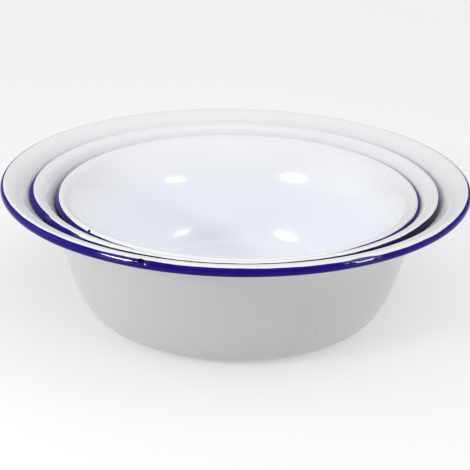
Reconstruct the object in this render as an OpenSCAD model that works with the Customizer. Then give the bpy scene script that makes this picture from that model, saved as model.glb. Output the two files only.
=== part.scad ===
// Nest of three white vitreous-enamelled steel basins with blue rolled rims.
// Millimetres, +Z up. The large basin stands on Z = 0 with its axis on the Z axis,
// and each smaller basin rests with its flat base on the floor of the next one.

/* [Large basin] */
// Outside diameter over the blue edging
large_rim_d = 320; // [240:1:420]
// Height from the table to the top of the lip
large_h = 95.5; // [84:0.5:130]
// Outside radius where the base turns up into the wall
large_corner_r = 21; // [12:0.5:26]
// Outside radius of the bulging lower wall
large_body_r = 87; // [40:1:140]
// Slope of the straight middle of the wall, from level
large_wall_slope = 74.8; // [68:0.1:82]
// Radius of the spreading upper wall, on the underside
large_sweep_r = 90; // [60:1:110]
// Slope at which the spreading wall meets the turn into the lip
large_sweep_turn = 40.5; // [36:0.5:54]
// Radius of the turn into the lip, on the underside
large_flare_r = 15; // [5:0.5:18]
// Slope of the flat of the lip
large_lip_slope = 18; // [10:0.5:22]
// How far the flat of the lip reaches in past the seam of the roll
large_lip_flat = 0.5; // [0.1:0.1:3]
// Radius of the rolled rim over the white enamel
large_bead_r = 3.4; // [2.6:0.1:4.2]

/* [Medium basin] */
// How much smaller its rim radius is than the large basin's
medium_step = 20.2; // [17:0.1:26]
// Outside radius where the base turns up into the wall
medium_corner_r = 18.5; // [10:0.5:24]
// Outside radius of the bulging lower wall
medium_body_r = 76; // [40:1:120]
// Slope of the straight middle of the wall, from level
medium_wall_slope = 75; // [64:0.1:80]
// Radius of the spreading upper wall, on the underside
medium_sweep_r = 79; // [50:1:100]
// Slope at which the spreading wall meets the turn into the lip
medium_sweep_turn = 51; // [48:0.5:58]
// Radius of the turn into the lip, on the underside
medium_flare_r = 6.5; // [4:0.5:9]
// Slope of the flat of the lip
medium_lip_slope = 19; // [10:0.5:22]
// How far the flat of the lip reaches in past the seam of the roll
medium_lip_flat = 0.2; // [0.1:0.1:2]
// Radius of the rolled rim over the white enamel
medium_bead_r = 2.9; // [2.4:0.1:3.4]

/* [Small basin] */
// How much smaller its rim radius is than the medium basin's
small_step = 15.5; // [14:0.1:22]
// Outside radius where the base turns up into the wall
small_corner_r = 16.5; // [9:0.5:22]
// Outside radius of the bulging lower wall
small_body_r = 68; // [36:1:110]
// Slope of the straight middle of the wall, from level
small_wall_slope = 77; // [64:0.1:80]
// Radius of the spreading upper wall, on the underside
small_sweep_r = 84; // [45:1:100]
// Slope at which the spreading wall meets the turn into the lip
small_sweep_turn = 51; // [46:0.5:58]
// Radius of the turn into the lip, on the underside
small_flare_r = 6; // [4:0.5:9]
// Slope of the flat of the lip
small_lip_slope = 19; // [10:0.5:22]
// How far the flat of the lip reaches in past the seam of the roll
small_lip_flat = 0.2; // [0.1:0.1:2]
// Radius of the rolled rim over the white enamel
small_bead_r = 2.5; // [2.1:0.1:3]

/* [Nest] */
// Gap between a basin's rolled rim and the wall of the basin that holds it
nest_gap = 0.5; // [0.3:0.1:2]
// How far the small basin stands off centre, to the right
small_shift = 1.5; // [0:0.1:3]

/* [Sheet and enamel] */
// Thickness of the pressed steel sheet
steel_t = 0.6; // [0.4:0.05:0.8]
// Thickness of the white enamel on each side of the sheet
enamel_t = 0.25; // [0.15:0.05:0.35]
// Thickness of the blue edging over the white enamel
blue_t = 0.15; // [0.1:0.05:0.3]

/* [Curves] */
// Slope at which the turn out of the base meets the lower wall
corner_turn = 61.5; // [50:0.5:63]
// How far the sheet is rolled round at the rim, in degrees
roll_turn = 290; // [250:10:310]
// Where on the roll the inside and the outside coat meet, in degrees
seam_turn = 100; // [80:10:150]
// Where on the roll the blue edging begins, in degrees
blue_from = 50; // [40:10:70]
// Where under the roll the blue edging ends, in degrees
blue_to = 210; // [170:10:240]
// Steps in one full turn of the roll
roll_steps = 36; // [24:12:72]
// Steps in each other curve of the bowl
curve_steps = 10; // [6:1:16]

/* [Hidden] */
full_turn = 360;
roll_step = full_turn / roll_steps;
wall_t = steel_t + 2 * enamel_t;

white = [0.93, 0.94, 0.96];
blue = [0.13, 0.08, 0.45];
steel = [0.45, 0.46, 0.48];

// Unit vectors along a slope, and square to it on its left, which is the basin's inside.
function along(a) = [cos(a), sin(a)];
function left(a) = [-sin(a), cos(a)];

// A basin is a list of its own sizes, with the rim's radius and the height in front.
function rim_r(b) = b[0];
function height(b) = b[1];
function corner_r(b) = b[2];
function body_r(b) = b[3];
function wall_slope(b) = b[4];
function sweep_r(b) = b[5];
function sweep_turn(b) = b[6];
function flare_r(b) = b[7];
function lip_slope(b) = b[8];
function lip_flat(b) = b[9];
function bead_r(b) = b[10];

// Radius on the roll of the two faces of the sheet.
function sheet_out_r(b) = bead_r(b) - enamel_t;
function sheet_in_r(b) = bead_r(b) - enamel_t - steel_t;

// The flat of the lip runs in from the roll, past the place where the roll closes against it.
function lip_w(b) = sqrt(pow(bead_r(b), 2) - pow(bead_r(b) - wall_t, 2)) + lip_flat(b);

// Centres of the curves of the profile, from the rim down.
function bead_c(b) = [rim_r(b) - blue_t - bead_r(b), height(b) - bead_r(b)];
function flare_c(b) = bead_c(b) - lip_w(b) * along(lip_slope(b))
    + (bead_r(b) - wall_t - flare_r(b)) * left(lip_slope(b));
function sweep_c(b) = flare_c(b) + (flare_r(b) - sweep_r(b)) * left(sweep_turn(b));

// The straight wall runs down from the spreading curve until its height is used up,
// and the flat of the base takes what is left of the radius.
function rise(b) = [0, corner_r(b)] + (body_r(b) - corner_r(b)) * left(corner_turn)
    - body_r(b) * left(wall_slope(b));
function wall_top(b) = sweep_c(b) + sweep_r(b) * left(wall_slope(b));
function wall_len(b) = (wall_top(b)[1] - rise(b)[1]) / sin(wall_slope(b));
function base_r(b) = wall_top(b)[0] - wall_len(b) * cos(wall_slope(b)) - rise(b)[0];
function corner_c(b) = [base_r(b), corner_r(b)];
function body_c(b) = corner_c(b) + (body_r(b) - corner_r(b)) * left(corner_turn);

// Height over the holder's base at which a roll of radius r, centred x from the holder's axis,
// clears the holder's spreading wall by the nest's gap.
function roll_z(holder, r, x) =
    let (reach = sweep_r(holder) + wall_t + nest_gap + blue_t + r)
    sweep_c(holder)[1] + sqrt(pow(reach, 2) - pow(x - sweep_c(holder)[0], 2));

large = [large_rim_d / 2, large_h, large_corner_r, large_body_r, large_wall_slope, large_sweep_r,
    large_sweep_turn, large_flare_r, large_lip_slope, large_lip_flat, large_bead_r];

medium_rim_r = large_rim_d / 2 - medium_step;
medium_h = roll_z(large, medium_bead_r, medium_rim_r - blue_t - medium_bead_r)
    + medium_bead_r - wall_t;
medium = [medium_rim_r, medium_h, medium_corner_r, medium_body_r, medium_wall_slope, medium_sweep_r,
    medium_sweep_turn, medium_flare_r, medium_lip_slope, medium_lip_flat, medium_bead_r];

small_rim_r = medium_rim_r - small_step;
small_h = roll_z(medium, small_bead_r, small_rim_r - blue_t - small_bead_r + small_shift)
    + small_bead_r - wall_t;
small = [small_rim_r, small_h, small_corner_r, small_body_r, small_wall_slope, small_sweep_r,
    small_sweep_turn, small_flare_r, small_lip_slope, small_lip_flat, small_bead_r];

// Points of an arc about c at radius r, between two slopes.
function arc(c, r, from, to) =
    [for (i = [0:curve_steps]) c + r * left(from + (to - from) * i / curve_steps)];

// The bowl from the axis to the roll, at depth d inside its outer face.
function bowl(b, d) = concat(
    [[0, d]],
    arc(corner_c(b), d - corner_r(b), 0, corner_turn),
    arc(body_c(b), d - body_r(b), corner_turn, wall_slope(b)),
    arc(sweep_c(b), d + sweep_r(b), wall_slope(b), sweep_turn(b)),
    arc(flare_c(b), d + flare_r(b), sweep_turn(b), lip_slope(b)));

// A turn rounded to whole steps of the roll, so that the coats share their edges.
function stepped(turn) = roll_step * round(turn / roll_step);

// A point of the roll at radius r after a turn from the lip, and a run of them.
function on_roll(b, r, turn) = bead_c(b) + r * left(lip_slope(b) - turn);
function roll(b, r, from, to) = [for (turn = [from:roll_step:to]) on_roll(b, r, turn)];

// Turn at which a circle of radius r comes round to a line at height h over its centre.
function closing_turn(r, h) = full_turn - acos(h / r);

function backwards(list) = [for (i = [len(list) - 1:-1:0]) list[i]];

// The pressed sheet with its hollow rolled rim.
module sheet(b) {
    end = stepped(roll_turn);
    color(steel)
        rotate_extrude()
            polygon(concat(
                bowl(b, wall_t - enamel_t),
                roll(b, sheet_out_r(b), 0, end),
                backwards(roll(b, sheet_in_r(b), 0, end)),
                backwards(bowl(b, enamel_t))));
}

// The white coat inside, over the lip and on to the roll.
module lining(b) {
    end = stepped(seam_turn);
    color(white)
        rotate_extrude()
            polygon(concat(
                bowl(b, wall_t),
                roll(b, bead_r(b), 0, end),
                backwards(roll(b, sheet_out_r(b), 0, end)),
                backwards(bowl(b, wall_t - enamel_t))));
}

// The white coat outside, under the lip and round the roll, where it closes the roll's seam.
module jacket(b) {
    from = stepped(seam_turn);
    outer_close = closing_turn(bead_r(b), bead_r(b) - wall_t);
    inner_close = closing_turn(sheet_out_r(b), sheet_in_r(b));
    color(white)
        rotate_extrude()
            polygon(concat(
                bowl(b, 0),
                [on_roll(b, bead_r(b), outer_close)],
                backwards(roll(b, bead_r(b), from, outer_close)),
                roll(b, sheet_out_r(b), from, inner_close),
                [on_roll(b, sheet_out_r(b), inner_close)],
                backwards(bowl(b, enamel_t))));
}

// The blue edging laid over the white on the outer face of the roll.
module edging(b) {
    from = stepped(blue_from);
    to = stepped(blue_to);
    color(blue)
        rotate_extrude()
            polygon(concat(
                roll(b, bead_r(b), from, to),
                backwards(roll(b, bead_r(b) + blue_t, from, to))));
}

module on_large_floor() {
    translate([0, 0, wall_t])
        children();
}

module on_medium_floor() {
    translate([small_shift, 0, 2 * wall_t])
        children();
}

module large_sheet() { sheet(large); }
module large_lining() { lining(large); }
module large_jacket() { jacket(large); }
module large_edging() { edging(large); }

module medium_sheet() { on_large_floor() sheet(medium); }
module medium_lining() { on_large_floor() lining(medium); }
module medium_jacket() { on_large_floor() jacket(medium); }
module medium_edging() { on_large_floor() edging(medium); }

module small_sheet() { on_medium_floor() sheet(small); }
module small_lining() { on_medium_floor() lining(small); }
module small_jacket() { on_medium_floor() jacket(small); }
module small_edging() { on_medium_floor() edging(small); }

large_sheet();
large_lining();
large_jacket();
large_edging();
medium_sheet();
medium_lining();
medium_jacket();
medium_edging();
small_sheet();
small_lining();
small_jacket();
small_edging();
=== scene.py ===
import bisect
import cmath
import math

import bpy
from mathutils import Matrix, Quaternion, Vector


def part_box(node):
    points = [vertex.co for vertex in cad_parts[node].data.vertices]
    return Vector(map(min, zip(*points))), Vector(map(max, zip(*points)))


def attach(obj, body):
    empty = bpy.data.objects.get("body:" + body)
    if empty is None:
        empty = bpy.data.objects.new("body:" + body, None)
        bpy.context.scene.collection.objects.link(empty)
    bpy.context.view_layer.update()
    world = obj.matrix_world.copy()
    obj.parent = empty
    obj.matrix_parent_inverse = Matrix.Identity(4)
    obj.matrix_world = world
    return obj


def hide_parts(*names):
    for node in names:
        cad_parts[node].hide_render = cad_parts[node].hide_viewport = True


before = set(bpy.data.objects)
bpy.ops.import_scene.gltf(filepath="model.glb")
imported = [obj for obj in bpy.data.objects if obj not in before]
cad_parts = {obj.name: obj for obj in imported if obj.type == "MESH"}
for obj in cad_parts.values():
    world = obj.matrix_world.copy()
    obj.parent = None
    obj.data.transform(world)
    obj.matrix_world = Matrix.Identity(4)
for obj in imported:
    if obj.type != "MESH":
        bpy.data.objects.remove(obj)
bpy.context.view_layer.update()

MM = 0.001

# Thickness of the sheet and its coats, in millimetres.
STEEL_T = 0.6
ENAMEL_T = 0.25
BLUE_T = 0.15
WALL_T = STEEL_T + 2 * ENAMEL_T

# Turns of the section, in degrees. On the roll they run from the lip over the top, outward and down.
CORNER_TURN = 61.5
SEAM_TURN = 100
EDGE_END_TURN = 205

# Steps round the axis, and degrees to a step round the roll.
COAT_STEPS = 288
EDGE_STEPS = 720
ROLL_STEP = 6

# Where points lie along the base and along the straight wall, as shares of the way.
BASE_SHARES = (0, 0.06, 0.25, 0.5, 0.75, 0.9)
WALL_SHARES = (0.25, 0.5, 0.75)
# Arcs whose ends are nearer than this, in millimetres, share one point.
SAME_POINT = 0.01

# Points nearer than this, in metres, are merged.
MERGE = 1e-6
# Angles past which an edge stays sharp, in degrees.
COAT_CREASE = 40
EDGE_CREASE = 50


def along(slope):
    """A step of one along a slope of the section."""
    return cmath.rect(1, math.radians(slope))


def left(slope):
    """A step of one to the left of that slope."""
    return 1j * along(slope)


def towards(azimuth, height):
    """A direction. Azimuth 0 is the front, and 90 the right."""
    a, h = math.radians(azimuth), math.radians(height)
    return Vector((math.cos(h) * math.sin(a), -math.cos(h) * math.cos(a), math.sin(h)))


class Basin:
    """One basin of the nest, in millimetres and degrees.

    Points of its section are complex numbers: radius, and height over its own base.
    """

    def __init__(self, name, corner_r, body_r, wall_slope, sweep_r, sweep_turn, flare_r,
                 lip_slope, lip_flat, bead_r):
        self.name, self.body = name, name + "_basin"
        self.corner_r, self.body_r, self.wall_slope = corner_r, body_r, wall_slope
        self.sweep_r, self.sweep_turn, self.flare_r = sweep_r, sweep_turn, flare_r
        self.lip_slope, self.bead_r = lip_slope, bead_r
        edge_low, edge_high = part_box(name + "_edging")
        self.rim_r = (edge_high.x - edge_low.x) / 2 / MM
        self.axis_x = (edge_high.x + edge_low.x) / 2 / MM
        self.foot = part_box(name + "_jacket")[0].z / MM
        self.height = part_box(name + "_lining")[1].z / MM - self.foot
        self.bead_c = complex(self.rim_r - BLUE_T - bead_r, self.height - bead_r)
        lip_w = math.sqrt(bead_r ** 2 - (bead_r - WALL_T) ** 2) + lip_flat
        lip_foot = self.bead_c - lip_w * along(lip_slope)
        self.flare_c = lip_foot + (bead_r - WALL_T - flare_r) * left(lip_slope)
        self.sweep_c = self.flare_c + (flare_r - sweep_r) * left(sweep_turn)
        rise = 1j * corner_r + (body_r - corner_r) * left(CORNER_TURN) - body_r * left(wall_slope)
        wall_top = self.sweep_c + sweep_r * left(wall_slope)
        wall_len = (wall_top.imag - rise.imag) / math.sin(math.radians(wall_slope))
        self.base_r = wall_top.real - wall_len * math.cos(math.radians(wall_slope)) - rise.real
        self.corner_c = complex(self.base_r, corner_r)
        self.body_c = self.corner_c + (body_r - corner_r) * left(CORNER_TURN)

    def bowl(self, depth):
        """The section from the axis to the roll, at a depth inside the outer face."""
        section = [complex(self.base_r * share, depth) for share in BASE_SHARES]
        for centre, radius, start, end, steps in (
            (self.corner_c, depth - self.corner_r, 0, CORNER_TURN, 14),
            (self.body_c, depth - self.body_r, CORNER_TURN, self.wall_slope, 8),
            (self.sweep_c, depth + self.sweep_r, self.wall_slope, self.sweep_turn, 12),
            (self.flare_c, depth + self.flare_r, self.sweep_turn, self.lip_slope, 8),
        ):
            arc = [centre + radius * left(start + (end - start) * i / steps) for i in range(steps + 1)]
            if abs(arc[0] - section[-1]) < SAME_POINT:
                section.pop()
            elif centre == self.sweep_c:
                section += [section[-1] + (arc[0] - section[-1]) * share for share in WALL_SHARES]
            section += arc
        return section

    def on_roll(self, radius, turn):
        return self.bead_c + radius * left(self.lip_slope - turn)

    def roll(self, radius, start, end):
        steps = max(1, round(abs(end - start) / ROLL_STEP))
        return [self.on_roll(radius, start + (end - start) * i / steps) for i in range(steps + 1)]

    def place(self, point, azimuth=90):
        """A point of the section in the frame, in metres. Azimuth 0 is the front, and 90 the right."""
        a = math.radians(azimuth)
        x, y = self.axis_x + point.real * math.sin(a), -point.real * math.cos(a)
        return Vector((x, y, self.foot + point.imag)) * MM


LARGE = Basin("large", corner_r=21, body_r=87, wall_slope=74.8, sweep_r=90, sweep_turn=40.5,
              flare_r=15, lip_slope=18, lip_flat=0.5, bead_r=3.4)
MEDIUM = Basin("medium", corner_r=18.5, body_r=76, wall_slope=75, sweep_r=79, sweep_turn=51,
               flare_r=6.5, lip_slope=19, lip_flat=0.2, bead_r=2.9)
SMALL = Basin("small", corner_r=16.5, body_r=68, wall_slope=77, sweep_r=84, sweep_turn=51,
              flare_r=6, lip_slope=19, lip_flat=0.2, bead_r=2.5)
NEST = (LARGE, MEDIUM, SMALL)


# Materials

class Wire:
    """A socket of a finish, so that sums on values are written as sums."""

    def __init__(self, finish, socket):
        self.finish, self.socket = finish, socket

    def math(self, operation, first, second):
        return self.finish.node("ShaderNodeMath", {"operation": operation}, {0: first, 1: second})

    def __add__(self, other):
        return self.math("ADD", self, other)

    def __radd__(self, other):
        return self.math("ADD", other, self)

    def __sub__(self, other):
        return self.math("SUBTRACT", self, other)

    def __rsub__(self, other):
        return self.math("SUBTRACT", other, self)

    def __mul__(self, other):
        return self.math("MULTIPLY", self, other)

    def __rmul__(self, other):
        return self.math("MULTIPLY", other, self)

    def __pow__(self, other):
        return self.math("POWER", self, other)

    def __rpow__(self, other):
        return self.math("POWER", other, self)


class Nodes:
    """A tree of nodes, built up node by node."""

    def __init__(self, owner):
        owner.use_nodes = True
        self.tree = owner.node_tree
        self.tree.nodes.clear()

    def socket(self, sockets, key):
        if isinstance(key, int):
            return sockets[key]
        return next(s for s in sockets if key in (s.identifier, s.name))

    def node(self, kind, settings=None, inputs=None, out=0):
        made = self.tree.nodes.new(kind)
        for key, value in (settings or {}).items():
            setattr(made, key, value)
        for key, value in (inputs or {}).items():
            target = self.socket(made.inputs, key)
            if isinstance(value, Wire):
                self.tree.links.new(value.socket, target)
            else:
                target.default_value = value
        return Wire(self, self.socket(made.outputs, out)) if made.outputs else None

    def facing(self, way, direction):
        """How far a way points in a direction."""
        return self.node("ShaderNodeVectorMath", {"operation": "DOT_PRODUCT"}, {
            0: way, 1: direction}, "Value")


class Finish(Nodes):
    """A material of nodes with one shader."""

    def __init__(self, name):
        self.material = bpy.data.materials.new(name)
        super().__init__(self.material)
        self.place = self.node("ShaderNodeTexCoord", out="Object")

    def noise(self, scale, detail=2.0, rough=0.5, at=None, warp=0.0):
        return self.node("ShaderNodeTexNoise", {}, {
            "Vector": at or self.place, "Scale": scale, "Detail": detail, "Roughness": rough,
            "Distortion": warp}, "Fac")

    def stretched(self, scale):
        return self.node("ShaderNodeMapping", {}, {"Vector": self.place, "Scale": scale}, "Vector")

    def between(self, value, low, high, to_low=0.0, to_high=1.0):
        return self.node("ShaderNodeMapRange", {"interpolation_type": "SMOOTHSTEP"}, {
            "Value": value, "From Min": low, "From Max": high,
            "To Min": to_low, "To Max": to_high}, "Result")

    def mix(self, factor, first, second):
        return self.node("ShaderNodeMix", {"data_type": "RGBA"}, {
            "Factor_Float": factor, "A_Color": first, "B_Color": second}, "Result_Color")

    def height_of(self):
        return self.node("ShaderNodeSeparateXYZ", {}, {"Vector": self.place}, "Z")

    def marked(self, name):
        """A value that the mesh carries at each of its points."""
        return self.node("ShaderNodeAttribute", {"attribute_name": name}, None, "Fac")

    def away_from(self, centre):
        return self.node("ShaderNodeVectorMath", {"operation": "DISTANCE"}, {
            0: self.place, 1: centre}, "Value")

    def spot(self, centre, radius, soft, ragged):
        """1 inside a ragged spot round a point, 0 outside it."""
        away = self.away_from(centre) + (self.noise(1400.0) - 0.5) * ragged
        return self.between(away, radius - soft, radius + soft, 1.0, 0.0)

    def specks(self, scale, share, size):
        """Sparse dots: a share of the cells hold one each, of about that size against the cell."""
        cells = {"Vector": self.place, "Scale": scale}
        cell = self.node("ShaderNodeTexVoronoi", {"feature": "F1"}, cells, "Color")
        away = self.node("ShaderNodeTexVoronoi", {"feature": "F1"}, cells, "Distance")
        chance = self.node("ShaderNodeSeparateColor", {}, {"Color": cell}, "Red")
        chosen = self.node("ShaderNodeMath", {"operation": "LESS_THAN"}, {0: chance, 1: share})
        return chosen * self.between(away, size * 0.6, size, 1.0, 0.0)

    def bump(self, height, strength, distance):
        return self.node("ShaderNodeBump", {}, {
            "Strength": strength, "Distance": distance, "Height": height}, "Normal")

    def shade(self, colour, rough, normal=None, metallic=0.0, **constants):
        inputs = {"Base Color": colour, "Roughness": rough, "Metallic": metallic}
        if normal:
            inputs["Normal"] = normal
        inputs.update({key.replace("_", " "): value for key, value in constants.items()})
        shader = self.node("ShaderNodeBsdfPrincipled", {}, inputs, "BSDF")
        self.node("ShaderNodeOutputMaterial", {}, {"Surface": shader})
        return self.material


def white_inside(basin):
    """White enamel inside, bluer and a little lighter from just under the lip down to the floor."""
    f = Finish(basin.name + "_white_inside")
    z = f.height_of()
    floor, lip = (basin.foot + WALL_T) * MM, (basin.foot + basin.height) * MM
    cloud = f.noise(14.0, 3.0, 0.55)
    towards_floor = f.between(z + (cloud - 0.5) * 0.02, lip - 0.004, floor + 0.042)
    white = f.mix(cloud, (0.822, 0.826, 0.838, 1), (0.854, 0.858, 0.870, 1))
    tone_shift = f.mix(cloud, (0.840, 0.862, 0.918, 1), (0.862, 0.882, 0.932, 1))
    colour = f.mix(towards_floor, white, tone_shift)
    fine = f.specks(140.0, 0.010, 0.07)
    colour = f.mix(fine * 0.75, colour, (0.10, 0.10, 0.12, 1))
    rough = 0.13 + f.noise(55.0, 4.0, 0.6) * 0.05 + f.noise(260.0, 2.0) * 0.02
    ripple = f.noise(30.0, 1.0) * 0.8 + f.noise(190.0, 2.0) * 0.10
    return f.shade(colour, rough, f.bump(ripple, 0.35, 0.0009), IOR=1.52)


def white_outside_painted_shade(basin, flecks=()):
    """White enamel outside, painted greyer than the inside as painted shade on the outer wall, with scuffs
    where the base has stood.
    """
    f = Finish(basin.name + "_white_outside")
    z = f.height_of()
    cloud = f.noise(12.0, 3.0, 0.55)
    # Painted shade: the outside white is greyer than the inside white, standing in for the shade on the
    # outer wall.
    colour = f.mix(cloud, (0.533, 0.533, 0.534, 1), (0.565, 0.565, 0.564, 1))
    streak = f.noise(1.0, 4.0, 0.6, f.stretched((55.0, 55.0, 9.0)))
    colour = f.mix(f.between(streak, 0.35, 0.75) * 0.10, colour, (0.50, 0.50, 0.505, 1))
    foot, base_r = basin.foot * MM, basin.base_r * MM
    worn = f.between(z, foot + 0.0002, foot + 0.0012, 1.0, 0.0)
    ring = f.between(f.away_from(basin.place(0)), base_r * 0.72, base_r * 0.98, 0.2, 1.0)
    scuff = worn * ring * f.between(f.noise(280.0, 6.0, 0.7, warp=0.6), 0.50, 0.68)
    colour = f.mix(scuff * 0.45, colour, (0.33, 0.33, 0.34, 1))
    dots = f.specks(110.0, 0.012, 0.06)
    for centre, radius in flecks:
        dots = dots + f.spot(centre, radius, radius * 0.4, radius)
    dots = f.between(dots, 0.0, 1.0)
    colour = f.mix(dots * 0.45, colour, (0.25, 0.25, 0.25, 1))
    rough = 0.13 + f.noise(48.0, 4.0, 0.6) * 0.07 + scuff * 0.3
    ripple = f.noise(28.0, 1.0) * 0.8 + f.noise(170.0, 2.0) * 0.12 - dots * 0.3
    return f.shade(colour, rough, f.bump(ripple, 0.35, 0.0009), IOR=1.52)


# Painted shade that darkens the blue nearly to black where the roll lies in shade: azimuth of its middle,
# and how far its core and its fringe reach each way, in degrees.
EDGE_PAINTED_SHADE = {"medium": (20, 50, 68)}


def blue_edge(basin):
    """Cobalt enamel laid on with a brush: streaked along the rim, paler at its edges, and darker below,
    partly deeper glaze and partly painted shade; on the medium, painted shade makes its front and right
    nearly black.
    """
    f = Finish(basin.name + "_blue_edge")
    brush = f.noise(1.0, 5.0, 0.6, f.stretched((70.0, 70.0, 900.0)))
    cloud = f.noise(40.0, 3.0)
    deep = f.mix(cloud, (0.008, 0.0010, 0.150, 1), (0.013, 0.0020, 0.205, 1))
    colour = f.mix(f.between(brush, 0.35, 0.70) * 0.6, deep, (0.022, 0.006, 0.265, 1))
    across = f.marked("across")
    inset = f.node("ShaderNodeMath", {"operation": "MINIMUM"}, {0: across, 1: 1 - across})
    thin = f.between(inset, 0.0, 0.10, 1.0, 0.0) * f.between(f.noise(600.0, 3.0), 0.30, 0.70)
    colour = f.mix(thin * 0.40, colour, (0.050, 0.032, 0.300, 1))
    # Darker towards the lower side of the roll, partly deeper glaze where it pooled and partly painted
    # shade.
    low_glaze_and_painted_shade = f.between(across + (cloud - 0.5) * 0.1, 0.34, 0.58)
    colour = f.mix(low_glaze_and_painted_shade * 0.7, colour, (0.004, 0.001, 0.060, 1))
    # Painted shade: on the medium the blue is darkened nearly to black at the front and right, where its
    # roll lies in shade.
    if basin.name in EDGE_PAINTED_SHADE:
        middle, *reaches = EDGE_PAINTED_SHADE[basin.name]
        core, fringe = (math.cos(math.radians(reach)) for reach in reaches)
        facing = f.facing(f.place, towards(middle, 0) / (basin.rim_r * MM))
        tone_shift = f.between(facing + (cloud - 0.5) * 0.3, fringe, core)
        colour = f.mix(tone_shift * 0.92, colour, (0.008, 0.005, 0.030, 1))
    rough = 0.035 + f.noise(120.0, 4.0) * 0.05
    ripple = f.noise(60.0, 2.0) * 0.6 + brush * 0.35
    return f.shade(colour, rough, f.bump(ripple, 0.25, 0.0005), IOR=1.5, Specular_IOR_Level=0.08,
                   Coat_Weight=f.marked("run"), Coat_Roughness=0.05, Coat_IOR=1.5)


def ground_coat():
    """The near-black ground coat and burnt steel that a chip lays bare."""
    f = Finish("ground_coat")
    grit = f.noise(2200.0, 4.0, 0.6)
    colour = f.mix(f.between(grit, 0.45, 0.75), (0.002, 0.002, 0.004, 1), (0.012, 0.008, 0.009, 1))
    rough = 0.55 + grit * 0.3
    return f.shade(colour, rough, f.bump(grit, 0.6, 0.0002), Specular_IOR_Level=0.06)


def bare_steel():
    """Pressed steel, dull and brushed round by the rolling, with spots of scale."""
    f = Finish("bare_steel")
    grain = f.noise(1.0, 5.0, 0.7, f.stretched((220.0, 220.0, 2600.0)))
    scale = f.noise(90.0, 4.0, 0.6)
    colour = f.mix(grain, (0.20, 0.20, 0.21, 1), (0.36, 0.36, 0.37, 1))
    colour = f.mix(f.between(scale, 0.52, 0.74) * 0.6, colour, (0.09, 0.055, 0.04, 1))
    rough = 0.34 + grain * 0.2
    metal = f.between(scale, 0.5, 0.8, 1.0, 0.5)
    return f.shade(colour, rough, f.bump(grain, 0.3, 0.0002), metal)


# Modelling

def deselect():
    bpy.ops.object.select_all(action="DESELECT")


def apply(piece, kind, **settings):
    modifier = piece.modifiers.new(kind.lower(), kind)
    for key, value in settings.items():
        setattr(modifier, key, value)
    bpy.context.view_layer.objects.active = piece
    bpy.ops.object.modifier_apply(modifier=modifier.name)


def turned(name, basin, section, steps):
    """Draws a section point by point, and turns it round the basin's axis into an open skin."""
    deselect()
    axis = Vector((basin.axis_x * MM, 0, 0))
    bpy.ops.mesh.primitive_plane_add(size=MM, location=(0, 0, 0))
    piece = bpy.context.object
    piece.name = piece.data.name = name
    bpy.ops.object.mode_set(mode="EDIT")
    bpy.ops.mesh.merge(type="CENTER")
    bpy.ops.transform.translate(value=basin.place(section[0]) - axis)
    for here, there in zip(section, section[1:]):
        bpy.ops.mesh.extrude_region_move(
            TRANSFORM_OT_translate={"value": basin.place(there) - basin.place(here)})
    bpy.ops.object.mode_set(mode="OBJECT")
    apply(piece, "SCREW", axis="Z", angle=math.tau, steps=steps, render_steps=steps,
          use_merge_vertices=True, merge_threshold=MERGE)
    bpy.ops.object.mode_set(mode="EDIT")
    bpy.ops.mesh.select_all(action="SELECT")
    bpy.ops.transform.translate(value=axis)
    bpy.ops.mesh.remove_doubles(threshold=MERGE)
    bpy.ops.mesh.normals_make_consistent(inside=False)
    bpy.ops.object.mode_set(mode="OBJECT")
    return piece


def flip(piece):
    bpy.context.view_layer.objects.active = piece
    bpy.ops.object.mode_set(mode="EDIT")
    bpy.ops.mesh.select_all(action="SELECT")
    bpy.ops.mesh.flip_normals()
    bpy.ops.object.mode_set(mode="OBJECT")


def face_out(piece, basin, inside):
    """Turns a coat's faces to the side that is seen: up off the floor inside, down off the base outside."""
    middle = min(piece.data.polygons, key=lambda face: (face.center - basin.place(0j)).length)
    if (middle.normal.z > 0) != inside:
        flip(piece)


def face_rim(piece):
    """Turns the blue strip's faces away from the middle of the roll."""
    outermost = max(piece.data.polygons, key=lambda face: face.center.x)
    if outermost.normal.x < 0:
        flip(piece)


def smooth(piece, angle):
    deselect()
    piece.select_set(True)
    bpy.context.view_layer.objects.active = piece
    bpy.ops.object.shade_smooth_by_angle(angle=math.radians(angle))


# The waves of enamel that ran: their size in metres, and their height in millimetres.
FLOW = bpy.data.textures.new("enamel_flow", "CLOUDS")
FLOW.noise_scale = 0.040
FLOW.noise_depth = 1
FLOW_RISE = 0.08


def flowed(piece):
    """The slow unevenness of enamel that ran before it set."""
    apply(piece, "DISPLACE", texture=FLOW, texture_coords="GLOBAL", strength=FLOW_RISE * MM, mid_level=0.5)


def coat(basin, side, section, inside, finish):
    """A white coat: a turned skin that is given its thickness away from the side that is seen."""
    piece = turned(f"{basin.name}_{side}_coat", basin, section, COAT_STEPS)
    face_out(piece, basin, inside)
    flowed(piece)
    apply(piece, "SOLIDIFY", thickness=ENAMEL_T * MM, offset=-1)
    piece.data.materials.append(finish)
    smooth(piece, COAT_CREASE)
    return piece


def step(t):
    """A soft rise from 0 to 1."""
    t = min(1, max(0, t))
    return t * t * (3 - 2 * t)


def wave(stops, azimuth):
    """A smooth run through (azimuth, value) stops, closed round the rim."""
    azimuth = (azimuth + 180) % 360 - 180
    places = [a for a, _ in stops]
    i = bisect.bisect(places, azimuth)
    (a0, v0), (a1, v1) = stops[i - 1], stops[i % len(stops)]
    span = (a1 - a0) % 360
    return v0 + (v1 - v0) * step(((azimuth - a0) % 360) / span)


# The waver of a brushed edge: height of each wave in degrees, and how many go round the rim.
BRUSH_WAVES = ((1.2, 17), (0.9, 41), (0.5, 97))


def brushed(azimuth, phase):
    """Small unevenness of a brushed edge, in degrees round the roll."""
    a = math.radians(azimuth)
    return sum(high * math.sin(count * a + i * phase) for i, (high, count) in enumerate(BRUSH_WAVES, 1))


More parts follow.
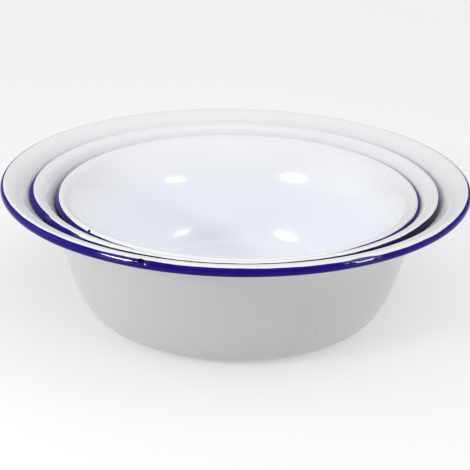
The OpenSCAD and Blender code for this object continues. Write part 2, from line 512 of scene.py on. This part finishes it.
# Where points lie across the blue strip, as shares of its width.
EDGE_SHARES = (0, 0.004, 0.015, 0.04, *(0.07 + 0.03 * i for i in range(15)),
               0.56, 0.64, 0.73, 0.82, 0.90, 0.95, 0.985, 0.996, 1)
# The share of its width in which the blue thins out, and how deep its edges sink into the white, in
# millimetres.
EDGE_THIN = 0.10
EDGE_SUNK = 0.02
# How much more the lower edge of the blue wavers than the upper one.
LOWER_WAVER = 3
# The strip's first points are at turn 0, which can come out just short of 360. A turn past this one is 0.
LAST_TURN = 330

# Where the blue begins on each roll: azimuth from the front, and turn over the lip, in degrees.
EDGE_STARTS = {
    "large": (
        (-150, 50), (-90, 41), (-60, 44), (-40, 47), (-20, 50), (-8, 57), (10, 58), (18, 62), (24.6, 61),
        (25.8, 53), (28.5, 52), (32, 65), (38, 68), (48, 63), (60, 50), (74, 38), (110, 44), (165, 53)),
    "medium": (
        (-140, 54), (-92, 50), (-72, 43), (-66, 36), (-59.5, 30), (-57, 44), (-52.5, 49), (-48, 45),
        (-45, 55), (-41.5, 68), (-34, 62), (-20, 54), (5, 54), (30, 56), (46, 53), (58, 50), (68, 58),
        (84, 55), (120, 50)),
    "small": (
        (-150, 60), (-95, 45), (-84, 46), (-76, 55), (-66, 70), (-50, 80), (-30, 76), (0, 72), (30, 62),
        (40, 58), (50, 65), (62, 72), (72, 82), (88, 70), (130, 58)),
}

# Lumps left by the brush: azimuth, turn, how far they reach each way in degrees, and height in millimetres.
EDGE_LUMPS = {
    "large": ((25.2, 72, 0.5, 26, 0.14), (31.9, 90, 0.5, 16, 0.10)),
    "medium": ((-58, 52, 1.2, 20, 0.12), (-43, 80, 1.5, 20, 0.12)),
    "small": ((-49.6, 92, 0.8, 14, 0.10),),
}

# Runs where the blue sagged before it set, flatter than the roll: azimuths of their ends, degrees in which
# they set in, and height in millimetres.
EDGE_SAGS = {"large": (
    (-31.0, -21.2, 4.0, 0.223), (-20.9, -19.4, 1.4, 0.40), (-19.3, -17.4, 1.7, 0.575),
    (22.0, 24.4, 2.0, 0.16), (25.0, 30.8, 0.8, 0.223), (31.4, 32.6, 0.4, 0.223))}
# Turns that a sag begins and ends at, the turn its gloss ends at, and the turns in which these fade.
SAG_FROM = 80
SAG_TO = 124
SAG_GLOSS = 118
SAG_SPAN = 22
# Degrees of azimuth in which a sag breaks off.
SAG_END = 0.5

# Where the blue lies thick on the roll: azimuth of its middle, spread in degrees, height in millimetres,
# turns that it begins and ends at, and the turns in which it rises and falls.
EDGE_SWELLS = {
    "medium": ((-70, 25, 1.7, 62, 130, 30, 36),),
    "small": ((-85, 54, 1.9, 95, 200, 40, 35), (70, 30, 1.4, 62, 122, 30, 30)),
}


def blue_height(share):
    """Height of the plain blue over the white, in millimetres, at a share of its width."""
    full = math.sin(math.pi / 2 * min(1, min(share, 1 - share) / EDGE_THIN)) ** 0.5
    return -EDGE_SUNK + (BLUE_T + EDGE_SUNK) * full


def thick_places(basin, azimuth, turn, share):
    """What lumps, sags and swells add to the blue in millimetres, and how wet it looks, from 0 to 1."""
    rise, wet = 0, 0
    for lump_azimuth, lump_turn, wide, tall, high in EDGE_LUMPS[basin.name]:
        lump = math.exp(-((azimuth - lump_azimuth) / wide) ** 2 - ((turn - lump_turn) / tall) ** 2)
        rise += high * lump
        wet = max(wet, min(1, 2 * lump))
    for near, far, fade, high in EDGE_SAGS.get(basin.name, ()):
        reach = step((azimuth - near) / fade) * step((far - azimuth) / SAG_END)
        sag = min(max(0, (turn - SAG_FROM) / SAG_SPAN) ** 2, step((SAG_TO - turn) / SAG_SPAN))
        rise += high * reach * sag
        wet = max(wet, reach * step((SAG_GLOSS - turn) / SAG_SPAN))
    for middle, spread, high, begin, cease, rising, falling in EDGE_SWELLS.get(basin.name, ()):
        swell = step((turn - begin) / rising) * step((cease - turn) / falling) * blue_height(share) / BLUE_T
        rise += high * swell * math.exp(-((azimuth - middle) / spread) ** 2)
    return rise, wet


def edging(basin, finish):
    """The brushed blue edging: a strip round the roll that thins out to nothing at both wavy edges."""
    section = [basin.on_roll(basin.bead_r + blue_height(s), EDGE_END_TURN * s) for s in EDGE_SHARES]
    piece = turned(basin.name + "_blue_edge", basin, section, EDGE_STEPS)
    piece.data.attributes.new("across", "FLOAT", "POINT")
    piece.data.attributes.new("run", "FLOAT", "POINT")
    across, runs = (piece.data.attributes[name].data for name in ("across", "run"))
    # Where the waver starts. It differs from one basin to the next.
    phase = len(basin.name)
    seats = []
    for vertex, mark, run in zip(piece.data.vertices, across, runs):
        x, y = vertex.co.x / MM - basin.axis_x, vertex.co.y / MM
        azimuth = math.degrees(math.atan2(x, -y))
        point = complex(math.hypot(x, y), vertex.co.z / MM - basin.foot) - basin.bead_c
        turn = (basin.lip_slope - math.degrees(cmath.phase(point / 1j))) % 360
        share = min(1, (turn if turn < LAST_TURN else 0) / EDGE_END_TURN)
        first = wave(EDGE_STARTS[basin.name], azimuth) + brushed(azimuth, phase)
        last = EDGE_END_TURN + LOWER_WAVER * brushed(azimuth, phase + 1)
        turn = first + (last - first) * share
        radius = basin.bead_r + blue_height(share)
        rise, wet = thick_places(basin, azimuth, turn, share) if radius > basin.bead_r else (0, 0)
        vertex.co = basin.place(basin.on_roll(radius + rise, turn), azimuth)
        mark.value, run.value = share, wet
        seats.append(basin.place(basin.on_roll(radius - BLUE_T, turn), azimuth))
    face_rim(piece)
    flowed(piece)
    apply(piece, "SOLIDIFY", thickness=BLUE_T * MM, offset=-1)
    # Solidify adds the inner points after the outer ones. They are put back on the roll, so that the blue
    # is solid where it lies thick.
    for vertex, seat in zip(piece.data.vertices[len(seats):], seats):
        vertex.co = seat
    piece.data.materials.append(finish)
    smooth(piece, EDGE_CREASE)
    return piece


# The stone that knocks a chip out: size of its lumps, and how far they stand out, against its radius.
STONE_LUMP = 0.6
STONE_RISE = 0.7


def chip(basin, azimuth, turn, wide, tall, deep, pieces, finish):
    """Knocks a chip out of the coats on the roll: a lumpy stone, cut from them, bares the ground coat."""
    deselect()
    bpy.ops.mesh.primitive_ico_sphere_add(subdivisions=4, radius=1)
    stone = bpy.context.object
    stone.name = "chip_cutter"
    lump = bpy.data.textures.new("chip_lump", "CLOUDS")
    lump.noise_scale = STONE_LUMP
    apply(stone, "DISPLACE", texture=lump, texture_coords="LOCAL", strength=STONE_RISE, mid_level=0.5)
    stone.data.materials.append(finish)
    for vertex in stone.data.vertices:
        x, y, z = vertex.co
        round_roll = math.degrees(y * tall / 2 / basin.bead_r)
        round_rim = math.degrees(x * wide / 2 / basin.rim_r)
        point = basin.on_roll(basin.bead_r + BLUE_T + z * deep, turn - round_roll)
        vertex.co = basin.place(point, azimuth + round_rim)
    for piece in pieces:
        apply(piece, "BOOLEAN", object=stone, operation="DIFFERENCE", solver="EXACT",
              material_mode="TRANSFER")
        smooth(piece, COAT_CREASE)
    bpy.data.objects.remove(stone)


def hand_over(piece, basin, node):
    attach(piece, basin.body)
    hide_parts(f"{basin.name}_{node}")


# The basins

STEEL = bare_steel()
GROUND = ground_coat()
# Flecks on the front wall: place and radius, in metres.
FLECKS = {"large": (
    (Vector((0.0060, -0.1253, 0.0617)), 0.0007), (Vector((0.0517, -0.1015, 0.0259)), 0.0008))}
COATS = {}

for basin in NEST:
    # The turn at which the under side of the lip runs into the roll.
    under_lip = 360 - math.degrees(math.acos((basin.bead_r - WALL_T) / basin.bead_r))
    inside = basin.bowl(WALL_T) + basin.roll(basin.bead_r, 0, SEAM_TURN)[1:]
    outside = basin.bowl(0) + basin.roll(basin.bead_r, under_lip, SEAM_TURN)
    lining = coat(basin, "inside", inside, True, white_inside(basin))
    jacket = coat(basin, "outside", outside, False, white_outside_painted_shade(basin, FLECKS.get(basin.name, ())))
    edge = edging(basin, blue_edge(basin))
    hand_over(lining, basin, "lining")
    hand_over(jacket, basin, "jacket")
    hand_over(edge, basin, "edging")
    COATS[basin.name] = (lining, jacket, edge)
    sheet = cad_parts[basin.name + "_sheet"]
    sheet.data.materials.clear()
    sheet.data.materials.append(STEEL)

chip(LARGE, azimuth=-19.6, turn=62, wide=5.0, tall=3.2, deep=0.28, pieces=COATS["large"], finish=GROUND)
chip(SMALL, azimuth=-49.0, turn=69, wide=3.4, tall=2.9, deep=0.28, pieces=COATS["small"][:1], finish=GROUND)


# Stage, light and camera

FLOOR_SIZE = 60
# The floor lies a hair under the base, clear of its ripple.
FLOOR_DROP = 0.0002
FLOOR_GLOW = 0.36

deselect()
bpy.ops.mesh.primitive_plane_add(size=FLOOR_SIZE, location=(0, 0, -FLOOR_DROP))
floor = bpy.context.object
floor.name = "floor"
pale = Finish("pale_floor")
floor.data.materials.append(pale.shade(
    pale.mix(pale.noise(3.0), (0.58, 0.58, 0.58, 1), (0.60, 0.60, 0.60, 1)), 0.9,
    Specular_IOR_Level=0, Emission_Color=(1, 1, 1, 1), Emission_Strength=FLOOR_GLOW))


LAMP_AIM = Vector((0, 0, 0.06))


def softbox(name, place, wide, tall, power):
    """A soft lamp that looks at the middle of the nest."""
    deselect()
    bpy.ops.object.light_add(type="AREA", location=place)
    lamp = bpy.context.object
    lamp.name = name
    lamp.data.shape = "RECTANGLE"
    lamp.data.size, lamp.data.size_y = wide, tall
    lamp.data.energy = power
    lamp.rotation_euler = (LAMP_AIM - Vector(place)).to_track_quat("-Z", "Y").to_euler()


softbox("left_box", (-0.630, -0.527, 0.415), wide=0.26, tall=0.050, power=2.15)
softbox("right_box", (0.700, -0.480, 0.355), wide=0.24, tall=0.060, power=0.7)

# Soft washes of light from the room: azimuth from the front, height, how narrow it is, and strength.
WASHES = (
    (-90, 12, 6, 1.95),
    (90, 12, 6, 0.80),
    (0, 60, 6, 1.40),
    (80, 50, 6, 1.08),
    (180, 45, 4, 0.70),
)
world = bpy.data.worlds.new("studio")
room = Nodes(world)
way = room.node("ShaderNodeTexCoord", out="Generated")
light = 0.0
for azimuth, height, narrow, strength in WASHES:
    facing = room.facing(way, towards(azimuth, height))
    lit = room.node("ShaderNodeMath", {"operation": "MAXIMUM"}, {0: facing, 1: 0.0})
    light = light + lit ** narrow * strength
sky = room.node("ShaderNodeBackground", {}, {"Color": (1, 1, 1, 1), "Strength": light})
room.node("ShaderNodeOutputWorld", {}, {"Surface": sky})
bpy.context.scene.world = world

CAMERA_AT = Vector((0, -0.7382, 0.3561))
CAMERA_AIM = Vector((0.0001, 0, 0.0490))
CAMERA_ROLL = 1.13
CAMERA_LENS = 86.8
CAMERA_SENSOR = 36
deselect()
bpy.ops.object.camera_add(location=CAMERA_AT)
camera = bpy.context.object
camera.data.sensor_width = CAMERA_SENSOR
camera.data.lens = CAMERA_LENS
camera.rotation_mode = "QUATERNION"
camera.rotation_quaternion = (CAMERA_AIM - CAMERA_AT).to_track_quat("-Z", "Y") @ Quaternion(
    (0, 0, 1), math.radians(CAMERA_ROLL))
bpy.context.scene.camera = camera
bpy.context.scene.view_settings.view_transform = "Standard"
